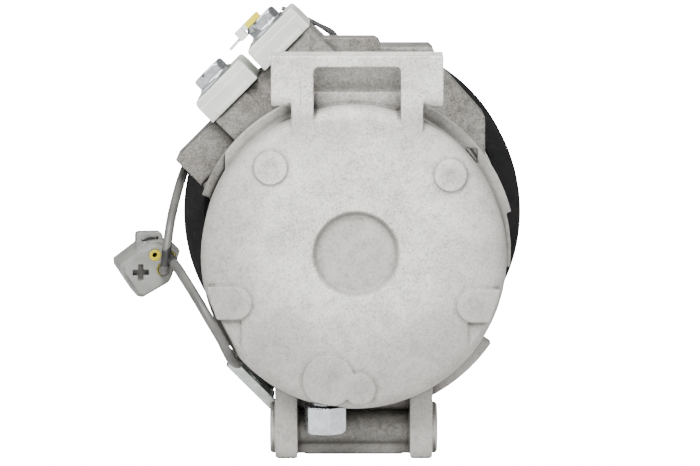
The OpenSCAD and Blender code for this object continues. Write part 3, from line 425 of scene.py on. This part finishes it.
def add(name, me, body, slot, replace=()):
    o = bpy.data.objects.new(name, me)
    sc.collection.objects.link(o)
    me.materials.clear(); me.materials.append(MATS[slot])
    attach(o, body)
    if replace:
        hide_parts(*replace)
    return o


def welded(name):
    """A closed copy of a CAD node's mesh, still in the row frame."""
    me = nodes[name].data.copy()
    bm = bmesh.new(); bm.from_mesh(me)
    bmesh.ops.remove_doubles(bm, verts=bm.verts, dist=2e-6)
    bm.to_mesh(me); bm.free()
    return me


def modified(me, *mods):
    """Applies modifiers, given as (type, settings), and returns the new mesh."""
    o = bpy.data.objects.new("tmp", me); sc.collection.objects.link(o)
    for kind, settings in mods:
        md = o.modifiers.new(kind, kind)
        for k, v in settings.items():
            setattr(md, k, v)
    dg = bpy.context.evaluated_depsgraph_get()
    out = bpy.data.meshes.new_from_object(o.evaluated_get(dg), depsgraph=dg)
    bpy.data.objects.remove(o)
    return out


def relax(me, turns, factor=0.5):
    nv, ne = len(me.vertices), len(me.edges)
    co = np.empty(nv * 3); me.vertices.foreach_get("co", co); co = co.reshape(-1, 3)
    ed = np.empty(ne * 2, np.int64); me.edges.foreach_get("vertices", ed); ed = ed.reshape(-1, 2)
    deg = np.maximum(np.bincount(ed.ravel(), minlength=nv), 1)[:, None]
    for k in range(turns):
        acc = np.stack([np.bincount(ed[:, 0], co[ed[:, 1], i], nv) + np.bincount(ed[:, 1], co[ed[:, 0], i], nv) for i in range(3)], 1)
        co = co + factor * (acc / deg - co)
    me.vertices.foreach_set("co", co.ravel()); me.update()


def recast(name, voxel, turns, near=0.05, far=0.20, limit=185000):
    """Rebuilds a node with soft corners: plain faces stay where the CAD has them, corners are rounded."""
    base = welded(name)
    src = BVHTree.FromPolygons([v.co[:] for v in base.vertices], [p.vertices[:] for p in base.polygons])
    me = modified(base, ("REMESH", {"mode": "VOXEL", "voxel_size": voxel * COARSE * MM, "adaptivity": 0.0}))
    nv = len(me.vertices)
    was = np.empty(nv * 3); me.vertices.foreach_get("co", was); was = was.reshape(-1, 3)
    relax(me, turns)
    co = np.empty(nv * 3); me.vertices.foreach_get("co", co); co = co.reshape(-1, 3)
    hit = co.copy(); dist = np.zeros(nv)
    find = src.find_nearest
    for i in np.nonzero(((co - was) ** 2).sum(1) > (0.004 * MM) ** 2)[0].tolist():
        p, q, k, d = find(co[i])
        hit[i] = p; dist[i] = d
    w = np.clip((dist / MM - near) / (far - near), 0, 1)
    w = (w * w * (3 - 2 * w))[:, None]
    co = hit + (co - hit) * w
    me.vertices.foreach_set("co", co.ravel()); me.update()
    tris = 2 * len(me.polygons)
    if tris > limit:
        me = modified(me, ("DECIMATE", {"ratio": limit / tris}))
    set_smooth(me)
    return me


def catmull(q, s):
    """Points along a smooth path through q, s steps to each span."""
    out = []
    n = len(q) - 1
    for i in range(n):
        a, b, c, d = q[max(i - 1, 0)], q[i], q[i + 1], q[min(i + 2, n)]
        for k in range(s):
            t = k / s
            out.append(0.5 * ((2 * b) + (c - a) * t + (2 * a - 5 * b + 4 * c - d) * t * t + (3 * b - a - 3 * c + d) * t ** 3))
    out.append(q[n])
    return out


def swept(bm, path, section, closed_ends=True):
    """Sweeps section(i, n), a list of (u, v) offsets, along path with frames that don't twist."""
    n = len(path)
    tan = [((path[min(i + 1, n - 1)] - path[max(i - 1, 0)])).normalized() for i in range(n)]
    u = tan[0].orthogonal().normalized()
    rings = []
    for i in range(n):
        u = (u - tan[i] * u.dot(tan[i])).normalized()
        v = tan[i].cross(u)
        rings.append([bm.verts.new(path[i] + u * a + v * b) for a, b in section(i, n)])
    m = len(rings[0])
    for r0, r1 in zip(rings, rings[1:]):
        for k in range(m):
            bm.faces.new((r0[k], r0[(k + 1) % m], r1[(k + 1) % m], r1[k]))
    bm.faces.new(list(reversed(rings[0]))); bm.faces.new(rings[-1])


def row(x, y, z):
    """A point of the compressor's own frame, in mm, in the row frame."""
    return Vector((x * MM, y * MM - BY, z * MM))


def lead_mesh():
    def into(a):
        c, s_ = math.cos(math.radians(a)), math.sin(math.radians(a))
        return [(68 * c, 62, 68 * s_), (64.5 * c, 72, 64.5 * s_), (59.5 * c, 79, 59.5 * s_), (52.5 * c, 82, 52.5 * s_),
                (48.2 * c, 84.4, 48.2 * s_), (47.05 * c, 87, 47.05 * s_), (47 * c, 90, 47 * s_)]
    a = [(-77.5, -33.36, -8.9), (-76.72, -37.79, -8.9), (-75.94, -42.22, -8.9), (-75.3, -45.8, -6.2), (-74.5, -45.4, 1),
         (-73, -38.5, 12), (-70.8, -23.5, 22), (-69, -6, 27.9), (-68.7, 14, 27.8), (-66.5, 40, 31.5)] + into(149)
    b = [(-74.95, -32.91, -3.9), (-74.25, -36.85, -3.9), (-73.55, -40.79, -3.9), (-72.2, -46.5, -4.6), (-68, -58, -8.5),
         (-61.2, -71, -17), (-56.3, -75.9, -24.5), (-52, -75.9, -31.9), (-48.7, -72.3, -39.3), (-46.3, -62, -43.4),
         (-45.6, -44, -44.8), (-45.7, -20, -44.5), (-46.4, 10, -45.4), (-48.6, 34, -46.4)] + into(222)
    bm = bmesh.new()
    for q, r in ((a, 1.85), (b, 1.95)):
        path = catmull([row(*p) for p in q], 12)
        ring = [(r * MM * math.cos(2 * math.pi * k / 24), r * MM * math.sin(2 * math.pi * k / 24)) for k in range(24)]
        swept(bm, path, lambda i, n, ring=ring: ring)
    bmesh.ops.recalc_face_normals(bm, faces=bm.faces)
    me = bpy.data.meshes.new("leads"); bm.to_mesh(me); bm.free()
    set_smooth(me, math.radians(50))
    return me


def strap_mesh():
    """The short dark strap that stands out behind the upper cap."""
    q = [(-29.5, 12, 93.2), (-24, 12, 91.6), (-18.5, 12, 88.6), (-13, 12, 85.7), (-9.2, 12, 83.4), (-6.9, 12, 80.6), (-6.2, 12, 76.5)]
    path = catmull([row(*p) for p in q], 8)
    axis = Vector((0, 1, 0))
    bm = bmesh.new()
    n = len(path)
    rings = []
    for i, p in enumerate(path):
        t = (path[min(i + 1, n - 1)] - path[max(i - 1, 0)]).normalized()
        up = t.cross(axis).normalized()
        f = i / (n - 1)
        h = (0.75 + 0.55 * max(0.0, 1 - abs(f - 0.72) / 0.25)) * MM
        half = 4.2 * MM
        rr = min(h, 0.7 * MM)
        pts = []
        for cx, cz, a0 in ((half - rr, h - rr, 0), (-half + rr, h - rr, 90), (-half + rr, -h + rr, 180), (half - rr, -h + rr, 270)):
            for k in range(5):
                an = math.radians(a0 + 22.5 * k)
                pts.append((cx + rr * math.cos(an), cz + rr * math.sin(an)))
        rings.append([bm.verts.new(p + axis * a + up * b) for a, b in pts])
    m = len(rings[0])
    for r0, r1 in zip(rings, rings[1:]):
        for k in range(m):
            bm.faces.new((r0[k], r0[(k + 1) % m], r1[(k + 1) % m], r1[k]))
    bm.faces.new(list(reversed(rings[0]))); bm.faces.new(rings[-1])
    bmesh.ops.recalc_face_normals(bm, faces=bm.faces)
    bmesh.ops.remove_doubles(bm, verts=bm.verts, dist=1e-7)
    me = bpy.data.meshes.new("strap"); bm.to_mesh(me); bm.free()
    set_smooth(me, math.radians(45))
    return me


COARSE = 1.0
for n, o in nodes.items():
    o.data.materials.clear()
    o.data.materials.append(MATS[slots[n]])

# name, voxel, smoothing turns, where plain faces end and rounding begins, triangle limit
SOFT = (
    ("rear_housing", 0.40, 3, 0.02, 0.10, 190000), ("front_housing", 0.55, 3, 0.03, 0.14, 130000),
    ("rear_cylinder_block", 0.50, 4, 0.04, 0.18, 130000), ("front_cylinder_block", 0.50, 4, 0.04, 0.18, 130000),
    ("port_manifold", 0.32, 6, 0.03, 0.16, 120000),
    ("suction_port_cap", 0.26, 4, 0.03, 0.12, 60000), ("discharge_port_cap", 0.26, 4, 0.03, 0.12, 60000),
    ("relief_valve_body", 0.20, 3, 0.02, 0.08, 40000), ("flange_bolts", 0.20, 2, 0.02, 0.08, 70000),
    ("lead_bracket", 0.22, 3, 0.02, 0.08, 40000), ("marker_tie", 0.15, 4, 0.03, 0.10, 40000),
    ("connector_housing", 0.24, 3, 0.02, 0.10, 80000), ("connector_seals", 0.16, 3, 0.02, 0.08, 30000),
    ("pulley", 0.42, 2, 0.02, 0.08, 160000), ("coil_housing", 0.45, 2, 0.02, 0.08, 60000),
    ("armature_plate", 0.34, 2, 0.02, 0.08, 60000), ("clutch_hub", 0.30, 2, 0.02, 0.08, 60000),
    ("hub_bolt", 0.22, 2, 0.02, 0.08, 30000), ("clutch_springs", 0.22, 2, 0.02, 0.08, 60000),
)
for n, vox, turns, near, far, limit in SOFT:
    if n not in nodes:
        continue
    o = add(n + "_shape", recast(n, vox, turns, near, far, limit), node_body[n], slots[n], (n,))
    if n == "rear_housing":
        o.data.materials.clear(); o.data.materials.append(MATS["cast_rear"])

add("coil_lead_shape", lead_mesh(), "casing", "cable_grey", ("coil_lead",))

# the relief valve's spring, swept as a coil with a mesh of its own
bm = bmesh.new()
coil = [row(-11.3 + 2.5 * math.cos(math.radians(10 * i)), -68.5 + 2.5 * math.sin(math.radians(10 * i)), -66.9 + 15.2 * i / 224) for i in range(225)]
swept(bm, coil, lambda i, n: [(0.39 * MM * math.cos(2 * math.pi * k / 10), 0.39 * MM * math.sin(2 * math.pi * k / 10)) for k in range(10)])
bmesh.ops.recalc_face_normals(bm, faces=bm.faces)
me = bpy.data.meshes.new("spring"); bm.to_mesh(me); bm.free()
set_smooth(me, math.radians(50))
spring = add("relief_valve_spring_shape", me, "casing", "steel", ("relief_valve_spring",))
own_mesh(spring)
add("dark_strap", strap_mesh(), "casing", "dark_strap")

# ------------------------------------------------------------------ camera, light, floor
cam = bpy.data.cameras.new("camera"); cam.sensor_width = 36; cam.lens = 3515.67/700*36
co = bpy.data.objects.new("camera", cam); sc.collection.objects.link(co)
co.location = (-0.0065046, -1.5409691, 0.1729774)
co.rotation_mode = "XYZ"
co.rotation_euler = Euler((math.radians(90-6.80734), 0, math.radians(-0.209405)), "XYZ")
sc.camera = co

w = bpy.data.worlds.new("world"); sc.world = w; w.use_nodes = True
t = w.node_tree; t.nodes.clear()
wo = t.nodes.new("ShaderNodeOutputWorld"); bg = t.nodes.new("ShaderNodeBackground")
tcw = t.nodes.new("ShaderNodeTexCoord"); sx = t.nodes.new("ShaderNodeSeparateXYZ")
t.links.new(tcw.outputs["Generated"], sx.inputs[0])
mr = t.nodes.new("ShaderNodeMapRange"); mr.inputs["From Min"].default_value = -1; mr.inputs["From Max"].default_value = 1
mr.inputs["To Min"].default_value = 0.08; mr.inputs["To Max"].default_value = 0.42
t.links.new(sx.outputs[2], mr.inputs["Value"])
lp = t.nodes.new("ShaderNodeLightPath")
mx = t.nodes.new("ShaderNodeMix"); mx.data_type = "FLOAT"
t.links.new(lp.outputs["Is Camera Ray"], mx.inputs[0]); t.links.new(mr.outputs[0], mx.inputs[2]); mx.inputs[3].default_value = 24
bg.inputs[0].default_value = (1, 1, 1, 1); t.links.new(mx.outputs[0], bg.inputs[1]); t.links.new(bg.outputs[0], wo.inputs[0])


def area(name, loc, size, energy, target=(0, -0.1, 0)):
    l = bpy.data.lights.new(name, "AREA"); l.shape = "RECTANGLE"; l.size, l.size_y = size; l.energy = energy
    ob = bpy.data.objects.new(name, l); sc.collection.objects.link(ob); ob.location = loc
    ob.rotation_euler = (Vector(target) - ob.location).to_track_quat("-Z", "Y").to_euler()
    return ob


area("key", (-0.16, -0.66, 0.62), (0.50, 0.40), 15)
area("front", (0.2, -2.2, 0.25), (1.6, 1.0), 6)
area("top", (0.1, -0.1, 1.4), (1.2, 1.2), 10)
area("side", (1.5, -0.5, 0.5), (0.7, 1.0), 5)

me = bpy.data.meshes.new("floor")
z = lo.z - 0.0005
me.from_pydata([(-6, -4, z), (6, -4, z), (6, 12, z), (-6, 12, z)], [], [(0, 1, 2, 3)])
fl = bpy.data.objects.new("floor", me); sc.collection.objects.link(fl)
fm = bpy.data.materials.new("floor"); fm.use_nodes = True
ft = fm.node_tree; ft.nodes.clear()
fo = ft.nodes.new("ShaderNodeOutputMaterial"); fb = ft.nodes.new("ShaderNodeBsdfPrincipled")
fb.inputs["Base Color"].default_value = (0.86, 0.86, 0.86, 1); fb.inputs["Roughness"].default_value = 0.9
fe = ft.nodes.new("ShaderNodeEmission"); fe.inputs[1].default_value = 24
fx = ft.nodes.new("ShaderNodeMixShader"); fp = ft.nodes.new("ShaderNodeLightPath")
fa = ft.nodes.new("ShaderNodeAddShader")
ft.links.new(fb.outputs[0], fa.inputs[0]); ft.links.new(fe.outputs[0], fa.inputs[1])
ft.links.new(fp.outputs["Is Camera Ray"], fx.inputs[0]); ft.links.new(fb.outputs[0], fx.inputs[1]); ft.links.new(fa.outputs[0], fx.inputs[2])
# seen from below the floor is clear, so that the underside of the part shows
fg = ft.nodes.new("ShaderNodeNewGeometry"); fc = ft.nodes.new("ShaderNodeBsdfTransparent"); fy = ft.nodes.new("ShaderNodeMixShader")
ft.links.new(fg.outputs["Backfacing"], fy.inputs[0]); ft.links.new(fx.outputs[0], fy.inputs[1]); ft.links.new(fc.outputs[0], fy.inputs[2])
ft.links.new(fy.outputs[0], fo.inputs[0])
me.materials.append(fm)
